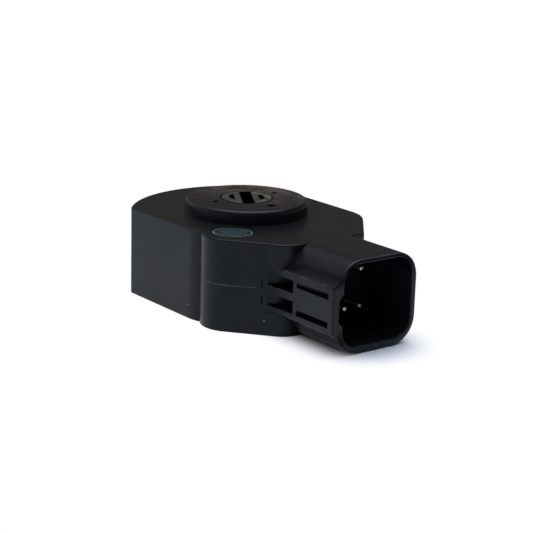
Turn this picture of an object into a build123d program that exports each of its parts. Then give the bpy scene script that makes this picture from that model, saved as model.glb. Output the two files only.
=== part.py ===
from build123d import *
import math
import os

# Throttle position sensor. The rotor turns about Z, the connector points along +X, and the
# rear face lies on z = 0. All sizes are in millimetres and degrees.

# Housing body, in plan
body_height = 21.95
body_half_width = 22.15
back_radius = 28.25
back_corner_radius = 1.2
shoulder_angle = 40.0
shoulder_corner_radius = 11.0
right_shoulder_inset = 0.7
side_end_x = 7.5
flank_radius = 10.0
lobe_radius = 7.35
nose_centre_x = 25.75
nose_centre_y = -8.55
nose_bulge = 0.54
nose_taper = 1.55
body_edge_radius = 0.35

# Pilot flange around the drive end
flange_radius = 15.0
flange_height = 3.3
flange_edge_radius = 1.0
dimple_circle_radius = 9.0
dimple_radius = 0.75
dimple_depth = 0.7
dimple_angle = 93.2
gate_mark_circle_radius = 9.8
gate_mark_radius = 1.1

# Mount slots and their steel sleeves
slot_circle_radius = 22.0
slot_angle = -45.0
sleeve_length = 9.4
sleeve_width = 7.5
sleeve_wall = 0.85

# Connector shroud and its socket
mouth_x = 49.4
shroud_width = 23.0
shroud_height = 21.8
shroud_lift = 0.15
shroud_corner_radius = 6.4
shroud_side_wall = 1.5
shroud_roof_wall = 1.1
shroud_floor_wall = 1.8
socket_corner_radius = 4.2
rim_edge_radius = 0.45
rim_inner_radius = 0.3

# Latch guard on the shroud's -Y side
guard_stand_out = 1.55
guard_drop = 0.22
guard_margin = 5.75
guard_slope = 36.0
guard_wall = 1.85
guard_rib = 1.2
guard_bar_x = 35.4
guard_bar_width = 1.15
guard_front_band = 1.75
guard_slot_height = 1.37
guard_crown = 0.35
guard_top_radius = 0.8
recess_start_x = 27.5
recess_slope = 50.0
recess_blend_radius = 4.0
recess_margin = 0.3
scoop_start_x = 28.05
scoop_lip = 1.2
scoop_lip_angle = 43.0
scoop_end_x = 30.2
scoop_rise = 0.5
core_mark_width = 0.24
core_mark_height = 1.8
core_mark_depth = 0.5
core_mark_gap = 0.28
core_mark_drop = 0.33
core_mark_spacing = 3.8
middle_rib_height = 1.87
tunnel_half_height = 2.45

# Terminals
pin_radius = 0.62
pin_pitch = 4.67
pin_row_spacing = 9.0
pin_lift = 4.78
pin_tip_x = 38.35
pin_tip_round = 0.3
pin_bend_radius = 1.5
lower_leg_x = 26.3
upper_leg_x = 22.3
pin_columns = 3
solder_tail = 0.7

# Rotor well and terminal bay
well_radius = 14.2
bay_half_width = 7.0
bay_end_x = 28.8
board_ledge = 1.0
cover_ledge = 1.2
roof_z = 18.0

# Back cover, its gasket and the element board
cover_thickness = 2.0
cover_rim_width = 0.9
cover_floor = 1.2
cover_boss_wall = 1.6
seal_thickness = 0.5
board_thickness = 1.6
board_lift = 1.7
fit_gap = 0.1

# Rotor
rotor_radius = 6.2
running_clearance = 0.05
rotor_stand_out = 0.2
rotor_edge_radius = 0.3
dust_gap = 0.3
dust_gap_depth = 1.2
drive_slot_width = 3.0
drive_slot_depth = 4.5
drive_slot_angle = -32.0
pocket_radius = 4.4
pocket_offset = 3.0
pocket_depth = 3.0
hub_radius = 7.4
disc_radius = 13.2
disc_thickness = 2.0
disc_lift = 2.7
pivot_radius = 2.5
end_play = 0.15

# Stops that limit the rotor's travel
travel = 95.0
idle_angle = 120.0
lug_half_angle = 8.0
lug_height = 3.5
lug_inner_radius = 11.0
lug_outer_radius = 13.0
stop_half_angle = 5.0
stop_gap_angle = 1.0
stop_clearance = 1.0

# Shaft seal and thrust washer
seal_wire_radius = 0.6
seal_groove_width = 1.6
seal_groove_z = 19.5
washer_thickness = 0.4

# Return spring
spring_radius = 8.9
spring_wire_radius = 0.45
spring_bend_radius = 1.2
spring_pitch = 1.25
spring_turns = 4
spring_lift = 1.0
spring_leg_depth = 1.2
spring_leg_clearance = 0.1

# Wipers, in the plane of their carrier's radius
wiper_sheet = 0.2
wiper_inner_radius = 6.8
wiper_outer_radius = 11.4
wiper_half_width = 1.5
wiper_reach = 4.5
wiper_tip_length = 1.0
wiper_tip_rise = 0.5
contact_gap = 0.05
stake_radius = 0.6
stake_inset = 1.0
pot_wiper_angle = 200.0
pot_finger_count = 4
switch_wiper_angle = 20.0
switch_finger_count = 2
finger_fill = 0.6

# Levels along the rotor axis
flange_top = body_height + flange_height
recess_depth = cover_thickness + seal_thickness
board_bottom = cover_thickness + board_lift
board_top = board_bottom + board_thickness
disc_bottom = board_top + disc_lift
disc_top = disc_bottom + disc_thickness
hub_top = roof_z - washer_thickness - end_play
rotor_top = flange_top + rotor_stand_out
pivot_end = cover_floor + end_play
spring_bottom = disc_top + spring_lift
spring_height = spring_turns * spring_pitch

# Places worked out from the sizes above
shroud_left = -shroud_width / 2
shroud_centre_z = shroud_lift + shroud_height / 2
socket_width = shroud_width - 2 * shroud_side_wall
socket_height = shroud_height - shroud_roof_wall - shroud_floor_wall
socket_left = -socket_width / 2
socket_floor = shroud_lift + shroud_floor_wall
socket_centre_z = socket_floor + socket_height / 2
guard_face_y = shroud_left - guard_stand_out
guard_centre_z = shroud_centre_z - guard_drop
guard_half_height = shroud_height / 2 - guard_margin
guard_bar_end = guard_bar_x + guard_bar_width
lower_row_z = socket_floor + pin_lift
upper_row_z = lower_row_z + pin_row_spacing
pin_centre_z = (lower_row_z + upper_row_z) / 2
pin_rows = ((lower_row_z, lower_leg_x), (upper_row_z, upper_leg_x))
pin_ys = [(column - (pin_columns - 1) / 2) * pin_pitch for column in range(pin_columns)]


def polar(radius, angle):
    """Point in plan at this radius and angle about the rotor axis"""
    return Vector(radius * math.cos(math.radians(angle)), radius * math.sin(math.radians(angle)))


def circles_meet(centre, radius, other, other_radius):
    """Crossing of two circles that lies further towards -Y"""
    apart = (other - centre).length
    along = (radius**2 - other_radius**2 + apart**2) / (2 * apart)
    aside = math.sqrt(radius**2 - along**2)
    way = (other - centre) / apart
    return centre + way * along + Vector(way.Y, -way.X) * aside


def arc_about(centre, start, end):
    """Arc of less than half a turn about a centre"""
    middle = (start - centre) + (end - centre)
    return ThreePointArc(start, centre + middle.normalized() * (start - centre).length, end)


def keyhole(grow):
    """Outline of the rotor well and the terminal bay, grown all round"""
    Circle(well_radius + grow)
    Rectangle(bay_end_x + grow, 2 * (bay_half_width + grow), align=(Align.MIN, Align.CENTER))


def sector(inner, outer, middle, half_angle):
    """Ring sector about the rotor axis"""
    with BuildLine() as outline:
        CenterArc((0, 0), inner, middle - half_angle, 2 * half_angle)
        CenterArc((0, 0), outer, middle - half_angle, 2 * half_angle)
        Line(polar(inner, middle - half_angle), polar(outer, middle - half_angle))
        Line(polar(inner, middle + half_angle), polar(outer, middle + half_angle))
    make_face(outline.edges())


def finish(piece, name):
    """Label a piece and write its STEP file"""
    piece.part.label = name
    export_step(piece.part, f"parts/{name}.step")


os.makedirs("parts", exist_ok=True)

slot_centre = polar(slot_circle_radius, slot_angle)
shoulder_way = Vector(math.cos(math.radians(shoulder_angle)), math.sin(math.radians(shoulder_angle)))
shoulder_out = Vector(shoulder_way.Y, -shoulder_way.X)
shoulder_start = slot_centre + shoulder_out * lobe_radius
shoulder_rise = math.tan(math.radians(shoulder_angle))
nose_centre = Vector(nose_centre_x, nose_centre_y)
nose_root_radius = (shoulder_start - nose_centre).dot(shoulder_out)
nose_start = nose_centre + shoulder_out * nose_root_radius
nose_radius = nose_root_radius + nose_bulge
nose_foot_radius = nose_radius - body_height * math.tan(math.radians(nose_taper))
nose_front = nose_centre_x + nose_radius
body_front = nose_centre_x + nose_root_radius
right_reach = shoulder_start.dot(shoulder_out) - right_shoulder_inset
right_corner_x = (right_reach - body_half_width * shoulder_way.X) / shoulder_way.Y
right_front_y = body_half_width - (body_front - right_corner_x) * shoulder_rise
back_x = -math.sqrt(back_radius**2 - body_half_width**2)
flank_centre = Vector(side_end_x, flank_radius - body_half_width)
cusp = circles_meet(flank_centre, flank_radius, slot_centre, lobe_radius)

# Plan of the body: round back, straight sides, slanted shoulders and a blunt nose. The -Y
# side curves in to a cusp and runs out again round the lobe of the front mount slot.
with BuildSketch() as body_plan:
    with BuildLine():
        ThreePointArc((back_x, body_half_width), (-back_radius, 0), (back_x, -body_half_width))
        Line((back_x, -body_half_width), (side_end_x, -body_half_width))
        arc_about(flank_centre, Vector(side_end_x, -body_half_width), cusp)
        arc_about(slot_centre, cusp, shoulder_start)
        Line(shoulder_start, nose_start)
        arc_about(nose_centre, nose_start, Vector(body_front, nose_centre_y))
        Line((body_front, nose_centre_y), (body_front, right_front_y))
        Line((body_front, right_front_y), (right_corner_x, body_half_width))
        Line((right_corner_x, body_half_width), (back_x, body_half_width))
    make_face()
    back_corners = body_plan.vertices().sort_by(Axis.X)[:2]
    fillet(back_corners, back_corner_radius)
    right_corner = body_plan.vertices().sort_by_distance((right_corner_x, body_half_width))[0]
    fillet(right_corner, shoulder_corner_radius)

# Housing: body, pilot flange, connector shroud and latch guard in one moulding
with BuildPart() as housing:
    extrude(to_extrude=body_plan.sketch, amount=body_height)
    with Locations(nose_centre):
        Cone(nose_foot_radius, nose_radius, body_height, align=(Align.CENTER, Align.CENTER, Align.MIN))
    fillet(housing.faces().sort_by(Axis.Z)[-1].outer_wire().edges(), body_edge_radius)
    fillet(housing.faces().sort_by(Axis.Z)[0].outer_wire().edges(), body_edge_radius)

    with BuildSketch(Plane.XY.offset(body_height)):
        Circle(flange_radius)
    extrude(amount=flange_height)
    fillet(housing.faces().sort_by(Axis.Z)[-1].outer_wire().edges(), flange_edge_radius)

    # Recess in the nose that bares the ends of the guard's ribs, with a slanted end wall
    guard_top = guard_centre_z + guard_half_height + guard_crown
    guard_bottom = guard_centre_z - guard_half_height
    guard_root_y = (shroud_left + socket_left) / 2
    recess_start_y = shoulder_start.Y + (recess_start_x - shoulder_start.X) * shoulder_rise
    recess_rise = math.tan(math.radians(recess_slope))
    recess_way = Vector(math.cos(math.radians(recess_slope)), math.sin(math.radians(recess_slope)))
    face_start_x = recess_start_x + (guard_face_y - recess_start_y) / recess_rise
    blend_length = recess_blend_radius * math.tan(math.radians(recess_slope / 2))
    blend_start = Vector(face_start_x, guard_face_y) - recess_way * blend_length
    blend_end = Vector(face_start_x + blend_length, guard_face_y)
    recess_run = recess_margin / math.tan(math.radians(guard_slope))
    with BuildPart(mode=Mode.SUBTRACT):
        with BuildSketch(Plane.YZ.offset(recess_start_x)):
            with BuildLine():
                Polyline(
                    (shoulder_start.Y, guard_bottom),
                    (guard_face_y, guard_bottom),
                    (guard_face_y, guard_top),
                    (guard_face_y + recess_run, guard_top + recess_margin),
                    (shoulder_start.Y, guard_top + recess_margin),
                    close=True,
                )
            make_face()
        extrude(amount=nose_front - recess_start_x)
        with BuildSketch():
            with BuildLine():
                Line((recess_start_x, recess_start_y), blend_start)
                TangentArc(blend_start, blend_end, tangent=recess_way)
                Polyline(
                    blend_end,
                    (blend_end.X, guard_root_y),
                    (recess_start_x, guard_root_y),
                    (recess_start_x, recess_start_y),
                )
            make_face()
        extrude(amount=body_height, mode=Mode.SUBTRACT)

    # Shroud and guard section, run from inside the nose to the mouth
    guard_rise = (guard_root_y - guard_face_y) * math.tan(math.radians(guard_slope))
    with BuildSketch(Plane.YZ.offset(nose_centre_x)):
        with Locations((0, shroud_centre_z)):
            RectangleRounded(shroud_width, shroud_height, shroud_corner_radius)
        with BuildLine():
            Polyline(
                (guard_root_y, guard_bottom - guard_rise),
                (guard_face_y, guard_bottom),
                (guard_face_y, guard_top),
                (guard_root_y, guard_top + guard_rise),
                close=True,
            )
        make_face()
    extrude(amount=mouth_x - nose_centre_x)
    guard_edges = housing.edges().filter_by(Axis.X).filter_by_position(Axis.Y, guard_face_y, guard_face_y)
    fillet(guard_edges.filter_by_position(Axis.Z, guard_top, guard_top), guard_top_radius)

    # Socket, with the latch's tunnel along the guard
    tunnel_y = guard_face_y + guard_wall
    tunnel_mouth_y = 2 * socket_left - shroud_left
    tunnel_flare = tunnel_half_height + tunnel_mouth_y - tunnel_y
    with BuildSketch(Plane.YZ.offset(nose_front)):
        with Locations((0, socket_centre_z)):
            RectangleRounded(socket_width, socket_height, socket_corner_radius)
        with BuildLine():
            Polyline(
                (tunnel_mouth_y, guard_centre_z - tunnel_flare),
                (tunnel_y, guard_centre_z - tunnel_half_height),
                (tunnel_y, guard_centre_z + tunnel_half_height),
                (tunnel_mouth_y, guard_centre_z + tunnel_flare),
                close=True,
            )
        make_face()
    extrude(amount=mouth_x - nose_front, mode=Mode.SUBTRACT)
    fillet(housing.faces().sort_by(Axis.X)[-1].outer_wire().edges(), rim_edge_radius)
    fillet(housing.faces().sort_by(Axis.X)[-1].inner_wires()[0].edges(), rim_inner_radius)

    # Windows behind the guard's bar, scooped out of the nose, slots in front of the bar, and the
    # marks that the windows' cores leave beside the recess
    window_outer = guard_half_height - guard_rib
    window_height = window_outer - middle_rib_height / 2
    slot_run = mouth_x - guard_front_band - guard_bar_end
    guard_depth = tunnel_mouth_y - guard_face_y
    scoop_start_y = recess_start_y + (scoop_start_x - recess_start_x) * recess_rise
    lip_way = Vector(-math.cos(math.radians(scoop_lip_angle)), math.sin(math.radians(scoop_lip_angle)))
    lip_end = Vector(scoop_start_x, scoop_start_y) + lip_way * scoop_lip
    mark_x = recess_start_x - core_mark_gap - core_mark_width
    mark_y = shoulder_start.Y + (mark_x - shoulder_start.X) * shoulder_rise
    for side in (-1, 1):
        window_low = guard_centre_z + min(side * window_outer, side * middle_rib_height / 2)
        with BuildPart(mode=Mode.SUBTRACT):
            with BuildSketch(Plane.XY.offset(window_low)):
                with BuildLine():
                    Polyline(
                        (scoop_start_x, scoop_start_y),
                        lip_end,
                        (scoop_end_x, tunnel_mouth_y),
                        (guard_bar_x, tunnel_mouth_y),
                        (guard_bar_x, scoop_start_y),
                        close=True,
                    )
                make_face()
            extrude(amount=window_height)
            with BuildSketch(Plane.XZ.offset(-tunnel_mouth_y)):
                with BuildLine():
                    Polyline(
                        (lip_end.X, window_low + scoop_rise),
                        (scoop_start_x, window_low + scoop_rise),
                        (face_start_x, window_low),
                        (guard_bar_x, window_low),
                        (guard_bar_x, window_low + window_height),
                        (lip_end.X, window_low + window_height),
                        close=True,
                    )
                make_face()
            extrude(amount=tunnel_mouth_y - scoop_start_y, mode=Mode.INTERSECT)
        slot_low = guard_centre_z + min(side * window_outer, side * (window_outer - guard_slot_height))
        with BuildSketch(Plane.XY.offset(slot_low)):
            with Locations((guard_bar_end, guard_face_y)):
                Rectangle(slot_run, guard_depth, align=(Align.MIN, Align.MIN))
        extrude(amount=guard_slot_height, mode=Mode.SUBTRACT)
        mark_z = guard_centre_z - core_mark_drop + side * core_mark_spacing / 2
        with Locations((mark_x, mark_y, mark_z)):
            Box(
                core_mark_width,
                2 * core_mark_depth,
                core_mark_height,
                align=(Align.MIN, Align.CENTER, Align.CENTER),
                mode=Mode.SUBTRACT,
            )

    # Rotor well and terminal bay, stepped for the cover and the board
    for grow, depth in ((board_ledge + cover_ledge, recess_depth), (board_ledge, board_top), (0, roof_z)):
        with BuildSketch():
            keyhole(grow)
        extrude(amount=depth, mode=Mode.SUBTRACT)

    # Idle and full-travel stops
    stop_reach = lug_half_angle + stop_gap_angle + stop_half_angle
    with BuildSketch(Plane.XY.offset(disc_top + stop_clearance)):
        for stop_angle in (idle_angle - stop_reach, idle_angle + travel + stop_reach):
            sector(lug_inner_radius, well_radius + board_ledge, stop_angle, stop_half_angle)
    extrude(amount=roof_z + board_ledge - disc_top - stop_clearance)

    # Bore for the rotor, with a wider dust gap at the flange
    with BuildSketch(Plane.XY.offset(roof_z)):
        Circle(rotor_radius + running_clearance)
    extrude(amount=flange_top - roof_z, mode=Mode.SUBTRACT)
    with BuildSketch(Plane.XY.offset(flange_top)):
        Circle(rotor_radius + dust_gap)
    extrude(amount=-dust_gap_depth, mode=Mode.SUBTRACT)
    with BuildSketch(Plane.XY.offset(flange_top)):
        with Locations(polar(dimple_circle_radius, dimple_angle), polar(dimple_circle_radius, -dimple_angle)):
            Circle(dimple_radius)
        with Locations((gate_mark_circle_radius, 0)):
            Circle(gate_mark_radius)
    extrude(amount=-dimple_depth, mode=Mode.SUBTRACT)

    # Seats of the sleeves, the terminals and the spring's fixed leg
    with BuildSketch():
        with Locations(slot_centre, -slot_centre):
            SlotOverall(sleeve_length, sleeve_width, rotation=slot_angle + 90)
    extrude(amount=body_height, mode=Mode.SUBTRACT)
    with BuildSketch(Plane.YZ.offset(bay_end_x)):
        with Locations((0, pin_centre_z)):
            with GridLocations(pin_pitch, pin_row_spacing, pin_columns, len(pin_rows)):
                Circle(pin_radius)
    extrude(amount=nose_front - bay_end_x, mode=Mode.SUBTRACT)
    with BuildSketch(Plane.XY.offset(roof_z)):
        with Locations((spring_radius, spring_bend_radius)):
            Circle(spring_wire_radius + spring_leg_clearance)
    extrude(amount=spring_leg_depth + spring_leg_clearance, mode=Mode.SUBTRACT)
finish(housing, "housing")

# Steel sleeves that line the two mount slots from face to face
for sleeve_name, sleeve_centre in (("mount_sleeve_front", slot_centre), ("mount_sleeve_rear", -slot_centre)):
    with BuildPart() as sleeve:
        with BuildSketch():
            with Locations(sleeve_centre):
                SlotOverall(sleeve_length, sleeve_width, rotation=slot_angle + 90)
                SlotOverall(
                    sleeve_length - 2 * sleeve_wall,
                    sleeve_width - 2 * sleeve_wall,
                    rotation=slot_angle + 90,
                    mode=Mode.SUBTRACT,
                )
        extrude(amount=body_height)
    finish(sleeve, sleeve_name)

# Back cover: a plate in the recess, a rim that clamps the board and the rotor's lower bearing
with BuildPart() as back_cover:
    with BuildSketch():
        keyhole(board_ledge + cover_ledge - fit_gap)
    extrude(amount=cover_thickness)
    with BuildSketch(Plane.XY.offset(cover_thickness)):
        keyhole(board_ledge - 2 * fit_gap)
        with BuildSketch(mode=Mode.SUBTRACT):
            keyhole(board_ledge - 2 * fit_gap - cover_rim_width)
        Circle(pivot_radius + cover_boss_wall)
    extrude(amount=board_lift)
    with BuildSketch(Plane.XY.offset(cover_floor)):
        Circle(pivot_radius + running_clearance)
    extrude(amount=board_bottom - cover_floor, mode=Mode.SUBTRACT)
finish(back_cover, "back_cover")

# Flat gasket between the cover and the recess
with BuildPart() as cover_seal:
    with BuildSketch(Plane.XY.offset(cover_thickness)):
        keyhole(board_ledge + cover_ledge - fit_gap)
        with BuildSketch(mode=Mode.SUBTRACT):
            keyhole(board_ledge)
    extrude(amount=seal_thickness)
finish(cover_seal, "cover_seal")

# Element board, drilled for the rotor's pivot and the terminals' tails
with BuildPart() as element_board:
    with BuildSketch(Plane.XY.offset(board_bottom)):
        keyhole(board_ledge - fit_gap)
        Circle(pivot_radius + dust_gap, mode=Mode.SUBTRACT)
        with Locations(*[(leg_x, y) for _, leg_x in pin_rows for y in pin_ys]):
            Circle(pin_radius, mode=Mode.SUBTRACT)
    extrude(amount=board_thickness)
finish(element_board, "element_board")

# Terminals: round pins through the nose wall, bent down to the board
terminal_places = [(row_z, leg_x, y) for row_z, leg_x in pin_rows for y in pin_ys]
for number, (row_z, leg_x, pin_y) in enumerate(terminal_places, start=1):
    with BuildPart() as terminal:
        with BuildLine():
            pin_path = FilletPolyline(
                (pin_tip_x, pin_y, row_z),
                (leg_x, pin_y, row_z),
                (leg_x, pin_y, board_bottom - solder_tail),
                radius=pin_bend_radius,
            )
        with BuildSketch(Plane.YZ.offset(pin_tip_x)):
            with Locations((pin_y, row_z)):
                Circle(pin_radius)
        sweep(path=pin_path)
        fillet(terminal.faces().sort_by(Axis.X)[-1].edges(), pin_tip_round)
    finish(terminal, f"terminal_{number}")

# Rotor: drive end, seal groove, hub, contact disc and pivot, turned about the axis
seal_groove_radius = rotor_radius + running_clearance - 2 * seal_wire_radius - running_clearance
with BuildPart() as rotor:
    with BuildSketch(Plane.XZ):
        with BuildLine():
            Polyline(
                (0, pivot_end),
                (pivot_radius, pivot_end),
                (pivot_radius, disc_bottom),
                (disc_radius, disc_bottom),
                (disc_radius, disc_top),
                (hub_radius, disc_top),
                (hub_radius, hub_top),
                (rotor_radius, hub_top),
                (rotor_radius, seal_groove_z - seal_groove_width / 2),
                (seal_groove_radius, seal_groove_z - seal_groove_width / 2),
                (seal_groove_radius, seal_groove_z + seal_groove_width / 2),
                (rotor_radius, seal_groove_z + seal_groove_width / 2),
                (rotor_radius, rotor_top),
                (0, rotor_top),
                close=True,
            )
        make_face()
    revolve(axis=Axis.Z)
    fillet(rotor.faces().sort_by(Axis.Z)[-1].edges(), rotor_edge_radius)

    # Drive slot across the end, with a moulded pocket on each side of it
    with BuildSketch(Plane.XY.offset(rotor_top)):
        Circle(pocket_radius)
        Rectangle(2 * rotor_radius, 2 * pocket_offset, rotation=drive_slot_angle, mode=Mode.SUBTRACT)
    extrude(amount=-pocket_depth, mode=Mode.SUBTRACT)
    with BuildSketch(Plane.XY.offset(rotor_top)):
        Rectangle(2 * rotor_radius + 2 * dust_gap, drive_slot_width, rotation=drive_slot_angle)
    extrude(amount=-drive_slot_depth, mode=Mode.SUBTRACT)

    # Stop lug above the disc, the hole for the spring's leg and the wipers' stakes below
    with BuildSketch(Plane.XY.offset(disc_top)):
        sector(lug_inner_radius, lug_outer_radius, idle_angle, lug_half_angle)
    extrude(amount=lug_height)
    with BuildSketch(Plane.XY.offset(disc_top)):
        with Locations((spring_radius, -spring_bend_radius)):
            Circle(spring_wire_radius + spring_leg_clearance)
    extrude(amount=-spring_leg_depth - spring_leg_clearance, mode=Mode.SUBTRACT)
    with BuildSketch(Plane.XY.offset(disc_bottom)):
        for wiper_angle in (pot_wiper_angle, switch_wiper_angle):
            with Locations(
                polar(wiper_inner_radius + stake_inset, wiper_angle),
                polar(wiper_outer_radius - stake_inset, wiper_angle),
            ):
                Circle(stake_radius)
    extrude(amount=-2 * wiper_sheet)
finish(rotor, "rotor")

# O-ring in the rotor's groove
seal_ring_radius = seal_groove_radius + seal_wire_radius + running_clearance / 2
with BuildPart() as shaft_seal:
    with BuildSketch(Plane.XZ):
        with Locations((seal_ring_radius, seal_groove_z)):
            Circle(seal_wire_radius)
    revolve(axis=Axis.Z)
finish(shaft_seal, "shaft_seal")

# Thrust washer between the rotor's shoulder and the roof
with BuildPart() as thrust_washer:
    with BuildSketch(Plane.XY.offset(roof_z - washer_thickness)):
        Circle(hub_radius)
        Circle(rotor_radius + 2 * running_clearance, mode=Mode.SUBTRACT)
    extrude(amount=washer_thickness)
finish(thrust_washer, "thrust_washer")

# Return spring: a coil round the hub, one leg in the disc and the other in the roof. Each
# half turn is a tilted half circle, so neighbouring half turns meet in one direction.
spring_top = spring_bottom + spring_height
lower_leg_end = (spring_radius, -spring_bend_radius, disc_top - spring_leg_depth)
lower_leg_bend = (spring_radius, -spring_bend_radius, spring_bottom - spring_bend_radius)
upper_leg_bend = (spring_radius, spring_bend_radius, spring_top + spring_bend_radius)
upper_leg_end = (spring_radius, spring_bend_radius, roof_z + spring_leg_depth)
with BuildPart() as return_spring:
    with BuildLine() as spring_wire:
        Line(lower_leg_end, lower_leg_bend)
        TangentArc(lower_leg_bend, (spring_radius, 0, spring_bottom), tangent=(0, 0, 1))
        for half_turn in range(2 * spring_turns):
            side = (-1) ** half_turn
            low = spring_bottom + half_turn * spring_pitch / 2
            ThreePointArc(
                (side * spring_radius, 0, low),
                (0, side * spring_radius, low + spring_pitch / 4),
                (-side * spring_radius, 0, low + spring_pitch / 2),
            )
        TangentArc((spring_radius, 0, spring_top), upper_leg_bend, tangent=(0, 1, 0))
        Line(upper_leg_bend, upper_leg_end)
    with BuildSketch(Plane.XY.offset(disc_top - spring_leg_depth)):
        with Locations((spring_radius, -spring_bend_radius)):
            Circle(spring_wire_radius)
    sweep(path=spring_wire.wire())
finish(return_spring, "return_spring")

# Wipers: a staked plate with sprung fingers that slope down to the board
wiper_kinds = (
    ("pot_wiper", pot_wiper_angle, pot_finger_count),
    ("switch_wiper", switch_wiper_angle, switch_finger_count),
)
wiper_span = wiper_outer_radius - wiper_inner_radius
contact_z = board_top + contact_gap
for wiper_name, wiper_angle, finger_count in wiper_kinds:
    outward = polar(1, wiper_angle)
    sideways = polar(1, wiper_angle + 90)
    finger_step = wiper_span / finger_count
    finger_width = finger_step * finger_fill
    bend = wiper_half_width + wiper_reach
    tip = bend + wiper_tip_length
    with BuildPart() as wiper:
        with BuildSketch(Plane(origin=outward * wiper_inner_radius, x_dir=sideways, z_dir=outward)):
            with Locations((0, disc_bottom)):
                Rectangle(2 * wiper_half_width, wiper_sheet, align=(Align.CENTER, Align.MAX))
        extrude(amount=wiper_span)
        for finger in range(finger_count):
            start = wiper_inner_radius + finger * finger_step + (finger_step - finger_width) / 2
            with BuildSketch(Plane(origin=outward * start, x_dir=sideways, z_dir=outward)):
                with BuildLine():
                    Polyline(
                        (0, disc_bottom),
                        (wiper_half_width, disc_bottom),
                        (bend, contact_z + wiper_sheet),
                        (tip, contact_z + wiper_sheet + wiper_tip_rise),
                        (tip, contact_z + wiper_tip_rise),
                        (bend, contact_z),
                        (wiper_half_width, disc_bottom - wiper_sheet),
                        (0, disc_bottom - wiper_sheet),
                        close=True,
                    )
                make_face()
            extrude(amount=finger_width)
        with BuildSketch(Plane.XY.offset(disc_bottom)):
            with Locations(
                polar(wiper_inner_radius + stake_inset, wiper_angle),
                polar(wiper_outer_radius - stake_inset, wiper_angle),
            ):
                Circle(stake_radius)
        extrude(amount=-wiper_sheet, mode=Mode.SUBTRACT)
    finish(wiper, wiper_name)
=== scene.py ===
import math

import bpy
import numpy as np
from mathutils import Matrix, Vector


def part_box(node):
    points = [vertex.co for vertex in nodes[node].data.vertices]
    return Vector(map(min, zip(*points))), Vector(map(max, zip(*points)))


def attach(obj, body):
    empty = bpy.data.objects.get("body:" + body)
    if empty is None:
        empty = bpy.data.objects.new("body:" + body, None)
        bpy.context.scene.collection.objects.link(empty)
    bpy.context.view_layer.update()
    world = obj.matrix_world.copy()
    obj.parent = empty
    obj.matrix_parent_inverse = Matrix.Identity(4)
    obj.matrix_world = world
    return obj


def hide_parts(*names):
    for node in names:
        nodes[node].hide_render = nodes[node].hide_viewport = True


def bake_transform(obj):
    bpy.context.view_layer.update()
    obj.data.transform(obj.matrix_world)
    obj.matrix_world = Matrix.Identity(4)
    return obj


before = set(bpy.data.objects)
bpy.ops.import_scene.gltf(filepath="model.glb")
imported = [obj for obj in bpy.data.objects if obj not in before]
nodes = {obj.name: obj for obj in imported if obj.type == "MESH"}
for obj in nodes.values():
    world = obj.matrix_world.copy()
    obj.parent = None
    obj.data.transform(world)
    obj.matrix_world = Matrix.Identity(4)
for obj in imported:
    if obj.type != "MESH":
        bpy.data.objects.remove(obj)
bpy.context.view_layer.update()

# Sizes are in millimetres and degrees here, and become metres and radians where they are used
MM = 0.001

# Ends of the part, read off its nodes in model.glb
mouth_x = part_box("housing")[1][0] / MM
side_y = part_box("housing")[1][1] / MM
flange_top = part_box("housing")[1][2] / MM
rotor_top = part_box("rotor")[1][2] / MM
spring_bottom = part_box("return_spring")[0][2] / MM
spring_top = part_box("return_spring")[1][2] / MM

# Nearly all values of a noise pattern lie between these
noise_low = 0.3
noise_high = 0.7

# Sizes of the solids that seams, edges and wear follow
flange_radius = 15
back_radius = 28.25
back_corner_radius = 1.2
shoulder_angle = 40
right_corner_radius = 11
right_shoulder_inset = 0.7
side_end_x = 7.5
flank_radius = 10
cusp_angle = -68.48
lobe_radius = 7.35
slot_circle_radius = 22
slot_angle = -45
sleeve_half_straight = 0.95
shroud_half_width = 11.5
shroud_top = 21.95
shroud_corner_radius = 6.4
shroud_corner_y = shroud_half_width - shroud_corner_radius
shroud_corner_z = shroud_top - shroud_corner_radius
guard_face_y = -13.05


def linear(colour):
    """sRGB hex colour as linear red, green, blue and alpha"""
    parts = [int(colour[i : i + 2], 16) / 255 for i in (1, 3, 5)]
    return [p / 12.92 if p <= 0.04045 else ((p + 0.055) / 1.055) ** 2.4 for p in parts] + [1.0]


def add(tree, kind, sockets=None, **settings):
    """One node with its settings; each entry of sockets is a value or the output that feeds it. In a
    Map Range node, sockets 0 to 4 are the value, the two ends it is read between and the two it gives."""
    node = tree.nodes.new(kind)
    for name, value in settings.items():
        setattr(node, name, value)
    for place, value in (sockets or {}).items():
        if isinstance(value, bpy.types.NodeSocket):
            tree.links.new(value, node.inputs[place])
        else:
            node.inputs[place].default_value = value
    return node


def new_material(name):
    """Empty node material, with its tree and the Object coordinates that its patterns read"""
    material = bpy.data.materials.new(name)
    material.use_nodes = True
    tree = material.node_tree
    tree.nodes.clear()
    return material, tree, add(tree, "ShaderNodeTexCoord").outputs["Object"]


def per_mm(size):
    """Texture scale at which one feature is this many millimetres across"""
    return 1 / (size * MM)


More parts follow.
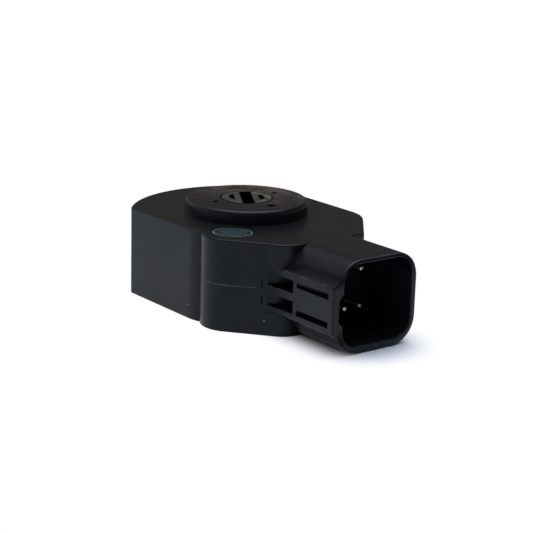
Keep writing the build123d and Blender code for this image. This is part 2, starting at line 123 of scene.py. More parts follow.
def moulded_plastic(name, dark, light, dust, roughness, specular, grain):
    """Moulded engineering plastic: a deep colour with cloudy handling marks, a fine eroded-steel
    grain that breaks up the sheen, and a few pale specks of dust"""
    cloud_size = 9
    darkest_cloud, palest_cloud = 0.35, 0.68
    dust_spacing = 7
    dust_from_number = 0.8
    speck_radius = 0.126
    gloss_spread = 0.03
    bump_strength, bump_height = 0.2, 0.02
    material, tree, place = new_material(name)
    cloudy = {"Vector": place, "Scale": per_mm(cloud_size), "Detail": 3, "Roughness": 0.5}
    clouds = add(tree, "ShaderNodeTexNoise", cloudy).outputs["Fac"]
    tone = add(tree, "ShaderNodeMapRange", {0: clouds, 1: darkest_cloud, 2: palest_cloud})
    body = add(
        tree,
        "ShaderNodeMix",
        {"Factor": tone.outputs[0], "A": linear(dark), "B": linear(light)},
        data_type="RGBA",
    )
    # Dust: in some cells, those whose own number is high, one speck at the cell's point
    cells = add(tree, "ShaderNodeTexVoronoi", {"Vector": place, "Scale": per_mm(dust_spacing)})
    speck_size = speck_radius / dust_spacing
    near = add(tree, "ShaderNodeMath", {0: cells.outputs["Distance"], 1: speck_size}, operation="LESS_THAN")
    number = add(tree, "ShaderNodeSeparateColor", {0: cells.outputs["Color"]})
    high_number = {0: number.outputs[0], 1: dust_from_number}
    chosen = add(tree, "ShaderNodeMath", high_number, operation="GREATER_THAN")
    speck = add(tree, "ShaderNodeMath", {0: near.outputs[0], 1: chosen.outputs[0]}, operation="MULTIPLY")
    dusty = add(
        tree,
        "ShaderNodeMix",
        {"Factor": speck.outputs[0], "A": body.outputs["Result"], "B": linear(dust)},
        data_type="RGBA",
    )
    # Grain: the tool's spark-eroded skin is about 0.1 mm, drawn at a size that the render can show
    fine = add(tree, "ShaderNodeTexNoise", {"Vector": place, "Scale": per_mm(grain), "Detail": 3})
    bumps = {"Height": fine.outputs["Fac"], "Strength": bump_strength, "Distance": bump_height * MM}
    relief = add(tree, "ShaderNodeBump", bumps)
    sheen = add(
        tree,
        "ShaderNodeMapRange",
        {0: clouds, 1: noise_low, 2: noise_high, 3: roughness + gloss_spread, 4: roughness - gloss_spread},
    )
    shader = add(
        tree,
        "ShaderNodeBsdfPrincipled",
        {
            "Base Color": dusty.outputs["Result"],
            "Roughness": sheen.outputs[0],
            "Specular IOR Level": specular,
            "Specular Tint": linear("#d3e6fa"),
            "Normal": relief.outputs["Normal"],
        },
    )
    add(tree, "ShaderNodeOutputMaterial", {"Surface": shader.outputs[0]})
    return material


def drawn_metal(name, bright, worn, roughness, along, line_width):
    """Metal with fine draw lines along one axis, and patches where handling has dulled it"""
    line_stretch = 0.05
    patch_size = 2.5
    gloss_spread = 0.08
    bump_strength, bump_height = 0.3, 0.01
    material, tree, place = new_material(name)
    # Draw lines are a few hundredths of a millimetre wide, and drawn wide enough to show
    stretch = [line_stretch if axis == along else 1.0 for axis in "XYZ"]
    runs = add(tree, "ShaderNodeMapping", {"Vector": place, "Scale": stretch}).outputs[0]
    streaky = {"Vector": runs, "Scale": per_mm(line_width), "Detail": 3}
    lines = add(tree, "ShaderNodeTexNoise", streaky).outputs["Fac"]
    patches = add(tree, "ShaderNodeTexNoise", {"Vector": place, "Scale": per_mm(patch_size), "Detail": 4})
    colour = add(
        tree,
        "ShaderNodeMix",
        {"Factor": patches.outputs["Fac"], "A": linear(bright), "B": linear(worn)},
        data_type="RGBA",
    )
    gloss = add(
        tree,
        "ShaderNodeMapRange",
        {0: lines, 1: noise_low, 2: noise_high, 3: roughness - gloss_spread, 4: roughness + gloss_spread},
    )
    bumps = {"Height": lines, "Strength": bump_strength, "Distance": bump_height * MM}
    relief = add(tree, "ShaderNodeBump", bumps)
    shader = add(
        tree,
        "ShaderNodeBsdfPrincipled",
        {
            "Base Color": colour.outputs["Result"],
            "Metallic": 1.0,
            "Roughness": gloss.outputs[0],
            "Normal": relief.outputs["Normal"],
        },
    )
    add(tree, "ShaderNodeOutputMaterial", {"Surface": shader.outputs[0]})
    return material


def shader_of(material):
    """The one shader node of a material"""
    return next(node for node in material.node_tree.nodes if node.type == "BSDF_PRINCIPLED")


def place_in(material):
    """The tree of a material, and the Object coordinates that its patterns read"""
    tree = material.node_tree
    coordinates = next(node for node in tree.nodes if node.type == "TEX_COORD")
    return tree, coordinates.outputs["Object"]


def stain(material, share, colour):
    """The colour covers what is under it by the output share"""
    tree = material.node_tree
    socket = shader_of(material).inputs["Base Color"]
    under = socket.links[0].from_socket
    mixed = add(tree, "ShaderNodeMix", {"Factor": share, "A": under, "B": linear(colour)}, data_type="RGBA")
    tree.links.new(mixed.outputs["Result"], socket)


def dull(material, amount, least):
    """The sheen falls to the share least of what it was where the output amount is 1"""
    tree = material.node_tree
    socket = shader_of(material).inputs["Specular IOR Level"]
    full = socket.links[0].from_socket if socket.is_linked else socket.default_value
    kept = add(tree, "ShaderNodeMapRange", {0: amount, 3: 1.0, 4: least})
    sheen = add(tree, "ShaderNodeMath", {0: kept.outputs[0], 1: full}, operation="MULTIPLY")
    tree.links.new(sheen.outputs[0], socket)


def paler_top_wear_and_sheen(material, height, centre, radius, colour, across, reach, shares, patch):
    """Faces above this height and within this radius of a centre are rubbed paler, in patches of this size,
    as real wear;
    the share of paler colour also runs from the first of the shares at -reach to the second at +reach along
    the level direction across, a painted sheen. Gives the output that is 1 where the surface is left as it
    was."""
    fade = 0.15
    barest, palest = 0.38, 0.62
    least_share = 0.15
    tree, place = place_in(material)
    level = add(tree, "ShaderNodeSeparateXYZ", {0: place}).outputs["Z"]
    high = add(tree, "ShaderNodeMapRange", {0: level, 1: (height - fade) * MM, 2: height * MM})
    flat = add(tree, "ShaderNodeVectorMath", {0: place, 1: (1, 1, 0)}, operation="MULTIPLY").outputs[0]
    middle = (centre[0] * MM, centre[1] * MM, 0)
    away = add(tree, "ShaderNodeVectorMath", {0: flat, 1: middle}, operation="DISTANCE").outputs["Value"]
    rim = {0: away, 1: (radius - fade) * MM, 2: radius * MM, 3: 1.0, 4: 0.0}
    inside = add(tree, "ShaderNodeMapRange", rim)
    touched = add(tree, "ShaderNodeMath", {0: high.outputs[0], 1: inside.outputs[0]}, operation="MULTIPLY")
    side = add(tree, "ShaderNodeVectorMath", {0: place, 1: (*across, 0)}, operation="DOT_PRODUCT")
    ramp = {0: side.outputs["Value"], 1: -reach * MM, 2: reach * MM, 3: shares[0], 4: shares[1]}
    more = add(tree, "ShaderNodeMapRange", ramp)
    cloudy = {"Vector": place, "Scale": per_mm(patch), "Detail": 3, "Roughness": 0.6}
    patches = add(tree, "ShaderNodeTexNoise", cloudy).outputs["Fac"]
    patchy = add(tree, "ShaderNodeMapRange", {0: patches, 1: barest, 2: palest, 3: least_share, 4: 1.0})
    share = add(tree, "ShaderNodeMath", {0: touched.outputs[0], 1: more.outputs[0]}, operation="MULTIPLY")
    share = add(tree, "ShaderNodeMath", {0: share.outputs[0], 1: patchy.outputs[0]}, operation="MULTIPLY")
    stain(material, share.outputs[0], colour)
    return add(tree, "ShaderNodeMath", {0: 1.0, 1: touched.outputs[0]}, operation="SUBTRACT").outputs[0]


def painted_shade_corner(material, start_x, y, z, reach, least):
    """Painted shade in the corner along X at this y and z: up to 0.3 of reach away the sheen falls to
    the share least, it is whole again at reach, and the darkening sets in over 4 mm past start_x"""
    core = 0.3 * reach
    run_in = 4
    tree, place = place_in(material)
    flat = add(tree, "ShaderNodeVectorMath", {0: place, 1: (0, 1, 1)}, operation="MULTIPLY").outputs[0]
    corner = (0, y * MM, z * MM)
    away = add(tree, "ShaderNodeVectorMath", {0: flat, 1: corner}, operation="DISTANCE").outputs["Value"]
    near = add(tree, "ShaderNodeMapRange", {0: away, 1: core * MM, 2: reach * MM, 3: 1.0, 4: 0.0})
    x = add(tree, "ShaderNodeSeparateXYZ", {0: place}).outputs["X"]
    past = add(tree, "ShaderNodeMapRange", {0: x, 1: start_x * MM, 2: (start_x + run_in) * MM})
    amount = add(tree, "ShaderNodeMath", {0: near.outputs[0], 1: past.outputs[0]}, operation="MULTIPLY")
    dull(material, amount.outputs[0], least)


def rim_line(material, front_x, inset, half_width, least):
    """Dull line round the top of the mouth's rim: faces past front_x that lie about the inset inside
    the shroud's outline, going by their distance from the upper corners' centres and the straight
    between them"""
    run_in = 2
    tree, place = place_in(material)
    folded = add(tree, "ShaderNodeVectorMath", {0: place}, operation="ABSOLUTE").outputs[0]
    corner = (0, shroud_corner_y * MM, shroud_corner_z * MM)
    beside = add(tree, "ShaderNodeVectorMath", {0: folded, 1: corner}, operation="SUBTRACT").outputs[0]
    ends = add(tree, "ShaderNodeVectorMath", {0: beside, 1: (-1, 0, 0)}, operation="MAXIMUM").outputs[0]
    flat = add(tree, "ShaderNodeVectorMath", {0: ends, 1: (0, 1, 1)}, operation="MULTIPLY").outputs[0]
    away = add(tree, "ShaderNodeVectorMath", {0: flat}, operation="LENGTH").outputs["Value"]
    radius = shroud_corner_radius - inset
    near = add(tree, "ShaderNodeMath", {0: away, 1: radius * MM, 2: half_width * MM}, operation="COMPARE")
    axes = add(tree, "ShaderNodeSeparateXYZ", {0: place}).outputs
    front = add(tree, "ShaderNodeMath", {0: axes["X"], 1: front_x * MM}, operation="GREATER_THAN")
    rise = {0: axes["Z"], 1: shroud_corner_z * MM, 2: (shroud_corner_z + run_in) * MM}
    high = add(tree, "ShaderNodeMapRange", rise)
    amount = add(tree, "ShaderNodeMath", {0: near.outputs[0], 1: front.outputs[0]}, operation="MULTIPLY")
    amount = add(tree, "ShaderNodeMath", {0: amount.outputs[0], 1: high.outputs[0]}, operation="MULTIPLY")
    dull(material, amount.outputs[0], least)


def painted_shade_pits(material, bottom, top, radius, least):
    """Painted shade in the pits of the flange: their sheen is taken away, so they look black: faces between
    these heights and within this radius of the rotor's axis"""
    tree, place = place_in(material)
    flat = add(tree, "ShaderNodeVectorMath", {0: place, 1: (1, 1, 0)}, operation="MULTIPLY").outputs[0]
    away = add(tree, "ShaderNodeVectorMath", {0: flat}, operation="LENGTH").outputs["Value"]
    inside = add(tree, "ShaderNodeMath", {0: away, 1: radius * MM}, operation="LESS_THAN")
    level = add(tree, "ShaderNodeSeparateXYZ", {0: place}).outputs["Z"]
    middle = (bottom + top) / 2 * MM
    half = (top - bottom) / 2 * MM
    between = add(tree, "ShaderNodeMath", {0: level, 1: middle, 2: half}, operation="COMPARE")
    amount = add(tree, "ShaderNodeMath", {0: inside.outputs[0], 1: between.outputs[0]}, operation="MULTIPLY")
    dull(material, amount.outputs[0], least)


def specks(material, spots, radius, colour):
    """Pale grains of dust, each a round spot about one place"""
    tree, place = place_in(material)
    for spot in spots:
        centre = [value * MM for value in spot]
        away = add(tree, "ShaderNodeVectorMath", {0: place, 1: centre}, operation="DISTANCE").outputs["Value"]
        near = add(tree, "ShaderNodeMath", {0: away, 1: radius * MM}, operation="LESS_THAN")
        stain(material, near.outputs[0], colour)


def painted_sleeve_edge_shade(material, radius, colour):
    """Painted shade on the inner edge of a slot's sleeve, where its rim is rolled over: top faces nearer than
    radius to the slot's middle line, which lies across the line from the rotor's axis, are darkened. The
    pattern is turned so that both slots lie on Y."""
    fade = 0.1
    facing_up = 0.7
    tree, place = place_in(material)
    turn = (0, 0, math.radians(-90 - slot_angle))
    turned = add(tree, "ShaderNodeMapping", {"Vector": place, "Rotation": turn}).outputs[0]
    folded = add(tree, "ShaderNodeVectorMath", {0: turned}, operation="ABSOLUTE").outputs[0]
    corner = (sleeve_half_straight * MM, slot_circle_radius * MM, 0)
    beside = add(tree, "ShaderNodeVectorMath", {0: folded, 1: corner}, operation="SUBTRACT").outputs[0]
    ends = add(tree, "ShaderNodeVectorMath", {0: beside, 1: (0, -1, -1)}, operation="MAXIMUM").outputs[0]
    level = add(tree, "ShaderNodeVectorMath", {0: ends, 1: (1, 1, 0)}, operation="MULTIPLY").outputs[0]
    away = add(tree, "ShaderNodeVectorMath", {0: level}, operation="LENGTH").outputs["Value"]
    rim = {0: away, 1: (radius - fade) * MM, 2: (radius + fade) * MM, 3: 1.0, 4: 0.0}
    inner = add(tree, "ShaderNodeMapRange", rim)
    normal = add(tree, "ShaderNodeNewGeometry").outputs["Normal"]
    upward = add(tree, "ShaderNodeSeparateXYZ", {0: normal}).outputs["Z"]
    top = add(tree, "ShaderNodeMath", {0: upward, 1: facing_up}, operation="GREATER_THAN")
    share = add(tree, "ShaderNodeMath", {0: inner.outputs[0], 1: top.outputs[0]}, operation="MULTIPLY")
    stain(material, share.outputs[0], colour)


# Glass-filled nylon, moulded: near black with a soft grey sheen. Its flange is rubbed pale in patches,
# and paler towards the back as painted sheen; the guard's corners and the flange's pits lose their sheen as
# painted shade, the rim keeps a dull line, and three grains of dust show.
nylon = moulded_plastic(
    "glass_filled_nylon", "#0f1013", "#141519", "#9fa3a6", roughness=0.3, specular=0.25, grain=0.5
)
# The flange's pale patches are wear; its ramp, paler towards the back, is painted sheen
paler_top_wear_and_sheen(
    nylon,
    height=flange_top - 0.05,
    centre=(0, 0),
    radius=flange_radius,
    colour="#5c5751",
    across=(-0.5, 0.85),
    reach=12,
    shares=(-0.15, 0.66),
    patch=3,
)
# Painted shade: the crease above the guard and the corner below it lose their sheen
painted_shade_corner(nylon, start_x=29, y=-11.5, z=17.5, reach=1.9, least=0.3)
painted_shade_corner(nylon, start_x=30, y=-10.8, z=3.4, reach=3.2, least=0.2)
# Painted shade: the pits in the flange are darkened by taking their sheen away
painted_shade_pits(nylon, bottom=22.5, top=flange_top - 0.1, radius=12, least=0)
rim_line(nylon, front_x=mouth_x - 0.4, inset=0.6, half_width=0.16, least=0)
specks(nylon, [(27.62, -15.03, 3.6), (7.6, -22.15, 3.5), (49.3, -0.03, 1.1)], radius=0.12, colour="#d8d8d6")
# Paler nylon: flash trimmed off the parting line, torn and so paler, and the painted highlight along the
# rim's crest
pale_flash_and_highlight_nylon = moulded_plastic(
    "trimmed_flash_and_painted_highlight", "#36373b", "#5d5f64", "#9fa3a6", roughness=0.4, specular=0.25, grain=0.3
)
# Paler nylon for the painted highlights along the guard's edges
painted_highlight_nylon = moulded_plastic(
    "painted_highlight_nylon", "#2b2c30", "#44464b", "#9fa3a6", roughness=0.35, specular=0.25, grain=0.3
)
# PBT, moulded: the cover's plate, a little greyer and flatter than the housing
pbt = moulded_plastic(
    "moulded_pbt", "#131416", "#18191b", "#8f9396", roughness=0.55, specular=0.25, grain=0.6
)
# Acetal, moulded: black. Its top is rubbed pale grey, a little off the middle, where the tang slides,
# and paler towards the camera's right as painted sheen; off the rubbed top it loses its sheen as painted
# shade, and so its slot and pockets look black
acetal = moulded_plastic(
    "moulded_acetal", "#0f0f0f", "#161615", "#9fa3a6", roughness=0.4, specular=0.4, grain=0.4
)
unrubbed_painted_shade = paler_top_wear_and_sheen(
    acetal,
    height=rotor_top - 0.05,
    centre=(0.63, -0.49),
    radius=6.25,
    colour="#66635c",
    across=(0.616, 0.788),
    reach=6,
    shares=(0.5, 1.2),
    patch=6,
)
# Painted shade: off the rubbed top the sheen is taken away, which blackens the slot, the pockets and the
# sides
dull(acetal, unrubbed_painted_shade, least=0)
# Zinc-plated steel, drawn tube: pale and bluish, with fine lines along the bore, and painted shade on its
# rolled inner edge
zinc_steel = drawn_metal("zinc_plated_steel", "#dcf0f6", "#b9d0d8", roughness=0.3, along="Z", line_width=0.35)
# Painted shade: a dark band on the sleeves' tops at their inner edge
painted_sleeve_edge_shade(zinc_steel, radius=3.3, colour="#39434a")
# Spring steel wire: darker and smoother, lines along the wire are lost in its turns
spring_steel = drawn_metal("spring_steel", "#8b8c90", "#6d6e73", roughness=0.3, along="Z", line_width=0.3)
# Gold-flashed brass: very pale warm yellow pins, polished by plugging
gold_brass = drawn_metal(
    "gold_flashed_brass", "#f7f0d8", "#e4d8ae", roughness=0.32, along="X", line_width=0.2
)
# Phosphor bronze strip: coppery sheet, rolled along its length
bronze = drawn_metal("phosphor_bronze", "#c8955c", "#a87743", roughness=0.3, along="X", line_width=0.2)
# Phenolic laminate: brown board, cloudy under the resin
laminate = moulded_plastic(
    "phenolic_laminate", "#4a3a22", "#5a482b", "#b0a890", roughness=0.45, specular=0.5, grain=0.35
)
# Nitrile rubber: deep matt black
rubber = moulded_plastic(
    "nitrile_rubber", "#101011", "#161617", "#707274", roughness=0.75, specular=0.35, grain=0.3
)

# Finish of each CAD node; those not named here are the terminals
node_finish = {
    "housing": nylon,
    "back_cover": pbt,
    "cover_seal": rubber,
    "element_board": laminate,
    "mount_sleeve_front": zinc_steel,
    "mount_sleeve_rear": zinc_steel,
    "rotor": acetal,
    "shaft_seal": rubber,
    "thrust_washer": spring_steel,
    "return_spring": spring_steel,
    "pot_wiper": bronze,
    "switch_wiper": bronze,
}
for name, node in nodes.items():
    finish = node_finish.get(name, gold_brass)
    for slot in node.material_slots:
        slot.material = finish


def toward(angle):
    """Unit vector at this angle: (cos, sin)"""
    return np.array([math.cos(math.radians(angle)), math.sin(math.radians(angle))])


def line(start, end, count):
    """Points from start up to, not including, end: start + (end - start) * k / count"""
    share = np.arange(count)[:, None] / count
    return np.array(start) + (np.array(end) - np.array(start)) * share


def arc(centre, radius, start, end, count):
    """Points of an arc, from the start angle up to, not including, the end angle: centre + radius *
    (cos, sin)"""
    angle = np.radians(start + (end - start) * np.arange(count) / count)
    return np.array(centre) + radius * np.stack([np.cos(angle), np.sin(angle)], axis=1)


def directions(path):
    """Unit vectors along a path"""
    way = np.gradient(path, axis=0)
    return way / np.linalg.norm(way, axis=1, keepdims=True)


def swept(name, path, aside, upward, material):
    """Closed rod along a path: each section is an ellipse, path + aside * cos + upward * sin, and each
    end closes in one point"""
    sides = 10
    angle = 2 * np.pi * np.arange(sides) / sides
    inner = slice(1, -1)
    rings = (
        path[inner, None, :]
        + aside[inner, None, :] * np.cos(angle)[None, :, None]
        + upward[inner, None, :] * np.sin(angle)[None, :, None]
    ).reshape(-1, 3)
    points = np.concatenate([rings, path[[0, -1]]]) * MM
    step = np.arange(len(path) - 3)[:, None] * sides
    here = np.arange(sides)
    after = (here + 1) % sides
    walls = np.stack([step + here, step + sides + here, step + sides + after, step + after], axis=-1)
    last = (len(path) - 3) * sides
    first_cap = np.stack([np.full(sides, len(rings)), here, after], axis=1)
    last_cap = np.stack([np.full(sides, len(rings) + 1), last + after, last + here], axis=1)
    faces = walls.reshape(-1, 4).tolist() + first_cap.tolist() + last_cap.tolist()
    mesh = bpy.data.meshes.new(name)
    mesh.from_pydata(points.tolist(), [], faces)
    mesh.polygons.foreach_set("use_smooth", np.ones(len(mesh.polygons), dtype=bool))
    mesh.materials.append(material)
    piece = bpy.data.objects.new(name, mesh)
    bpy.context.scene.collection.objects.link(piece)
    return piece


def level_bead(name, path, height, stand_out, half_width, fade, material):
    """Bead along a level path, used for flash on the parting line and for painted highlights on the guard's
    edges:
    its size rises and falls as 0.68 + 0.22 sin + 0.1 sin of the
    length run, in waves of about 7 mm and 2.5 mm, and tapers over the length fade at each end"""
    run = np.concatenate([[0], np.cumsum(np.linalg.norm(np.diff(path, axis=0), axis=1))])
    taper = np.minimum(1, np.minimum(run, run[-1] - run) / fade)
    uneven = taper * (0.68 + 0.22 * np.sin(run / 1.1) + 0.1 * np.sin(run / 0.4 + 1))
    way = directions(path)
    out = np.column_stack([way[:, 1], -way[:, 0], np.zeros(len(path))]) * (stand_out * uneven)[:, None]
    upward = np.outer(half_width * uneven, (0, 0, 1))
    at_height = np.column_stack([path, np.full(len(path), height)])
    flash = swept(name, at_height, out, upward, material)
    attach(flash, "housing")


# Parting line where the two halves of the mould met: faint from the right shoulder over the back
# to the -Y side, and torn paler round the front lobe as far as the guard's recess
seam_height = 11.3
right_seam_run = 12.13
lobe_seam_run = 9.27
lobe_seam_start = -165
left_out = toward(shoulder_angle - 90)
right_out = toward(90 - shoulder_angle)
slot_centre = slot_circle_radius * toward(slot_angle)
lobe_end = slot_centre + lobe_radius * left_out
right_reach = lobe_end @ left_out - right_shoulder_inset
right_corner_y = side_y - right_corner_radius
right_corner_x = (right_reach - right_corner_radius - right_corner_y * right_out[1]) / right_out[0]
right_corner = (right_corner_x, right_corner_y)
shoulder_end = right_corner + right_corner_radius * right_out
back_corner_y = side_y - back_corner_radius
back_corner_x = -math.sqrt((back_radius - back_corner_radius) ** 2 - back_corner_y**2)
back_angle = math.degrees(math.atan2(back_corner_y, back_corner_x))
back_seam = np.concatenate(
    [
        line(shoulder_end + right_seam_run * toward(-shoulder_angle), shoulder_end, 24),
        arc(right_corner, right_corner_radius, 90 - shoulder_angle, 90, 16),
        line((right_corner_x, side_y), (back_corner_x, side_y), 60),
        arc((back_corner_x, back_corner_y), back_corner_radius, 90, back_angle, 8),
        arc((0, 0), back_radius, back_angle, 360 - back_angle, 80),
        arc((back_corner_x, -back_corner_y), back_corner_radius, 360 - back_angle, 270, 8),
        line((back_corner_x, -side_y), (side_end_x, -side_y), 50),
        arc((side_end_x, flank_radius - side_y), flank_radius, -90, cusp_angle, 12),
    ]
)
lobe_seam = np.concatenate(
    [
        arc(slot_centre, lobe_radius, lobe_seam_start, shoulder_angle - 90, 60),
        line(lobe_end, lobe_end + lobe_seam_run * toward(shoulder_angle), 30),
    ]
)
level_bead(
    "parting_line", back_seam, seam_height, stand_out=0.07, half_width=0.15, fade=3, material=nylon
)
level_bead(
    "parting_line_lobe", lobe_seam, seam_height, stand_out=0.1, half_width=0.19, fade=5, material=pale_flash_and_highlight_nylon
)

# Guard: pale beads along its long edges, at the top rounding and along the bottom, are painted highlights
top_edge_z = 16.28
bottom_edge_z = 5.75
top_edge_y = guard_face_y + 0.09
top_edge = line((30.5, top_edge_y), (48.8, top_edge_y), 60)
bottom_edge_y = guard_face_y + 0.02
bottom_edge = line((31.5, bottom_edge_y), (48.6, bottom_edge_y), 60)
level_bead(
    "guard_edge_top", top_edge, top_edge_z, stand_out=0.07, half_width=0.24, fade=2, material=painted_highlight_nylon
)
level_bead(
    "guard_edge_bottom",
    bottom_edge,
    bottom_edge_z,
    stand_out=0.06,
    half_width=0.2,
    fade=3,
    material=painted_highlight_nylon,
)

# Rim of the mouth: a painted highlight along the crest of its outer edge, from the guard over the top, in a
# pale bead that is thickest in the middle
crest_inset = 0.13
crest_radius = 0.12
crest_end_angle = 20
crest_corner_radius = shroud_corner_radius - crest_inset
crest_z = shroud_top - crest_inset
crest_outline = np.concatenate(
    [
        arc((-shroud_corner_y, shroud_corner_z), crest_corner_radius, 180 - crest_end_angle, 90, 24),
        line((-shroud_corner_y, crest_z), (shroud_corner_y, crest_z), 20),
        arc((shroud_corner_y, shroud_corner_z), crest_corner_radius, 90, crest_end_angle, 24),
    ]
)
crest_way = directions(crest_outline)
crest_size = crest_radius * np.sin(np.linspace(0, np.pi, len(crest_outline))) ** 0.5
crest_out = np.column_stack([np.zeros(len(crest_outline)), -crest_way[:, 1], crest_way[:, 0]])
crest = np.column_stack([np.full(len(crest_outline), mouth_x - crest_inset), crest_outline])
rim = swept("rim_edge", crest, crest_out * crest_size[:, None], np.outer(crest_size, (-1, 0, 0)), pale_flash_and_highlight_nylon)
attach(rim, "housing")

# Return spring: stands for the CAD spring, whose lower leg turns with the rotor while the upper one
# stays in the housing's roof, so that the coil winds up between them
wire_radius = 0.45
coil_radius = 8.9
bend_radius = 1.2
coil_height = 5.0
turns = 4
points_per_turn = 48
lower_leg = 2.2
coil_low = spring_bottom + lower_leg
coil_high = coil_low + coil_height
bend = np.radians(np.linspace(0, 90, 9))
wound = np.linspace(0, 2 * np.pi * turns, points_per_turn * turns + 1)[1:-1]
lower_heights = np.linspace(spring_bottom, coil_low - bend_radius, 7)[:-1]
upper_heights = np.linspace(coil_high + bend_radius, spring_top, 7)[1:]
# Each leg's rows hold how far the wire has gone round and its height
lower_rows = np.concatenate(
    [
        np.column_stack([np.full(len(lower_heights), -bend_radius), lower_heights]),
        np.column_stack([-bend_radius * np.cos(bend), coil_low - bend_radius * (1 - np.sin(bend))]),
    ]
)
upper_rows = np.concatenate(
    [
        np.column_stack([bend_radius * np.sin(bend), coil_high + bend_radius * (1 - np.cos(bend))]),
        np.column_stack([np.full(len(upper_heights), bend_radius), upper_heights]),
    ]
)
coil_rise = coil_low + coil_height * wound / (2 * np.pi * turns)
wire = np.concatenate(
    [
        np.column_stack([np.full(len(lower_rows), coil_radius), lower_rows]),
        np.column_stack([coil_radius * np.cos(wound), coil_radius * np.sin(wound), coil_rise]),
        np.column_stack([np.full(len(upper_rows), coil_radius), upper_rows]),
    ]
)
wire_way = directions(wire)
wire_out = wire * (1, 1, 0)
wire_out = wire_out - wire_way * np.sum(wire_out * wire_way, axis=1, keepdims=True)
wire_out = wire_radius * wire_out / np.linalg.norm(wire_out, axis=1, keepdims=True)
spring = swept("return_spring_wound", wire, wire_out, np.cross(wire_out, wire_way), spring_steel)
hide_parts("return_spring")
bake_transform(spring)

# Floor: a white card, larger than any view of the object reaches. Away from the connector's shadow the
# eye sees it as evenly white, and reflections see it dimmer towards the back.
floor_reach = 3000
to_the_back = (-0.788, 0.616, 0)
shadow_start_x, shadow_end_x = 30, 43
shadow_y = 1
shadow_core, shadow_reach = 7.3, 19
mirror_start, mirror_end = -40, 140
mirror_near_share, mirror_far_share = 0.9, 0.05
card_edge, table_edge = 90, 140
card, tree, place = new_material("white_card")
seen = add(tree, "ShaderNodeLightPath").outputs
glossy_or_clear = {0: seen["Is Glossy Ray"], 1: seen["Is Transmission Ray"]}
mirrored = add(tree, "ShaderNodeMath", glossy_or_clear, operation="MAXIMUM")
depth = add(tree, "ShaderNodeVectorMath", {0: place, 1: to_the_back}, operation="DOT_PRODUCT")
behind = depth.outputs["Value"]
share = add(
    tree,
    "ShaderNodeMapRange",
    {0: behind, 1: mirror_start * MM, 2: mirror_end * MM, 3: mirror_near_share, 4: mirror_far_share},
)
mirrored = add(tree, "ShaderNodeMath", {0: mirrored.outputs[0], 1: share.outputs[0]}, operation="MULTIPLY")
rays = add(tree, "ShaderNodeMath", {0: seen["Is Camera Ray"], 1: mirrored.outputs[0]}, operation="MAXIMUM")
along = add(tree, "ShaderNodeSeparateXYZ", {0: place}).outputs["X"]
along = add(tree, "ShaderNodeClamp", {"Value": along, "Min": shadow_start_x * MM, "Max": shadow_end_x * MM})
middle = add(tree, "ShaderNodeCombineXYZ", {"X": along.outputs[0], "Y": shadow_y * MM})
beside = add(tree, "ShaderNodeVectorMath", {0: place, 1: middle.outputs[0]}, operation="DISTANCE")
blank = add(
    tree,
    "ShaderNodeMapRange",
    {0: beside.outputs["Value"], 1: shadow_core * MM, 2: shadow_reach * MM},
    interpolation_type="SMOOTHSTEP",
)
white = add(tree, "ShaderNodeMath", {0: rays.outputs[0], 1: blank.outputs[0]}, operation="MULTIPLY")
# The card ends behind the object, on a grey table
edge = add(tree, "ShaderNodeMapRange", {0: behind, 1: card_edge * MM, 2: table_edge * MM})
tone = add(
    tree,
    "ShaderNodeMix",
    {"Factor": edge.outputs[0], "A": linear("#dfe9fb"), "B": linear("#6c6e72")},
    data_type="RGBA",
)
paper = add(tree, "ShaderNodeBsdfDiffuse", {"Color": tone.outputs["Result"]})
even = add(tree, "ShaderNodeEmission", {"Color": linear("#ffffff"), "Strength": 1.0})
shader = add(tree, "ShaderNodeMixShader", {0: white.outputs[0], 1: paper.outputs[0], 2: even.outputs[0]})
add(tree, "ShaderNodeOutputMaterial", {"Surface": shader.outputs[0]})
floor_corners = np.array([(-1, -1, 0), (1, -1, 0), (1, 1, 0), (-1, 1, 0)]) * floor_reach * MM
floor_mesh = bpy.data.meshes.new("floor")
floor_mesh.from_pydata(floor_corners.tolist(), [], [(0, 1, 2, 3)])
floor_mesh.materials.append(card)
floor = bpy.data.objects.new("floor", floor_mesh)
bpy.context.scene.collection.objects.link(floor)

# World: a soft ceiling of light, dim at the horizon as in a studio with dark walls
world = bpy.data.worlds.new("studio")
world.use_nodes = True
sky = world.node_tree
sky.nodes.clear()
ceiling_edge = 0.65
horizon_light, ceiling_light = 0.11, 2.0
way = add(sky, "ShaderNodeTexCoord").outputs["Generated"]
height = add(sky, "ShaderNodeSeparateXYZ", {0: way}).outputs["Z"]
ceiling = {0: height, 1: ceiling_edge, 2: 1.0, 3: horizon_light, 4: ceiling_light}
glow = add(sky, "ShaderNodeMapRange", ceiling, interpolation_type="SMOOTHSTEP")
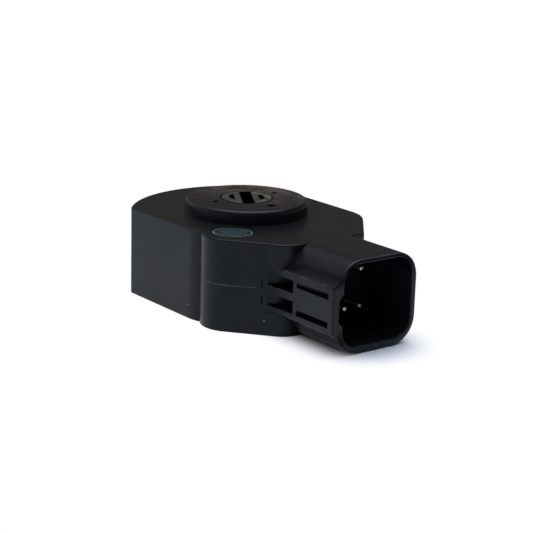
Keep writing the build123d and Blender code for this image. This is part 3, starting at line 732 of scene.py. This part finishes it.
# A paler wall on the camera's left, a little behind the object
wall_way = (-0.76, -0.5, 0.42)
wall_edge = 0.5
wall_light = 0.48
facing = add(sky, "ShaderNodeVectorMath", {0: way, 1: wall_way}, operation="DOT_PRODUCT").outputs["Value"]
left_wall = {0: facing, 1: wall_edge, 2: 1.0, 3: 0.0, 4: wall_light}
wall = add(sky, "ShaderNodeMapRange", left_wall, interpolation_type="SMOOTHSTEP")
shine = add(sky, "ShaderNodeMath", {0: glow.outputs[0], 1: wall.outputs[0]}, operation="ADD")
tint = add(
    sky,
    "ShaderNodeMix",
    {"Factor": shine.outputs[0], "A": linear("#fff0dd"), "B": linear("#eef4ff")},
    data_type="RGBA",
)
air = add(sky, "ShaderNodeBackground", {"Color": tint.outputs["Result"], "Strength": shine.outputs[0]})
add(sky, "ShaderNodeOutputWorld", {"Surface": air.outputs[0]})
bpy.context.scene.world = world

# Key light: a broad soft sun from nearly overhead, a little behind, which leaves the shadow near the part
key_way = (-0.2, 0.2, 0.96)
lamp = bpy.data.lights.new("key", "SUN")
lamp.energy = 0.9
lamp.color = linear("#fff8ef")[:3]
lamp.angle = math.radians(45)
key = bpy.data.objects.new("key", lamp)
key.rotation_mode = "QUATERNION"
key.rotation_quaternion = Vector(key_way).to_track_quat("Z", "Y")
bpy.context.scene.collection.objects.link(key)

# Camera: turned 52 degrees from the -Y side, 16 degrees up, rolled as the photograph is. The focal
# length is given in pixels of the photograph's width.
image_width = 533
focal_pixels = 1531.19
sensor_width = 36
azimuth = math.radians(52.04)
elevation = math.radians(15.64)
roll = math.radians(1.66)
distance = 375.81
aim_height, aim_right, aim_down = 20, 5.01, 11.83
back = Vector(
    (math.sin(azimuth) * math.cos(elevation), -math.cos(azimuth) * math.cos(elevation), math.sin(elevation))
)
level = Vector((math.cos(azimuth), math.sin(azimuth), 0))
upright = back.cross(level)
right = level * math.cos(roll) + upright * math.sin(roll)
up = upright * math.cos(roll) - level * math.sin(roll)
seat = (Vector((0, 0, aim_height)) + right * aim_right - up * aim_down + back * distance) * MM
lens = bpy.data.cameras.new("camera")
lens.sensor_width = sensor_width
lens.lens = sensor_width * focal_pixels / image_width
lens.clip_start = 10 * MM
lens.clip_end = 10
camera = bpy.data.objects.new("camera", lens)
turn = Matrix((right, up, back)).transposed().to_4x4()
camera.matrix_world = Matrix.Translation(seat) @ turn
bpy.context.scene.collection.objects.link(camera)
bpy.context.scene.camera = camera

bpy.context.scene.view_settings.view_transform = "Standard"
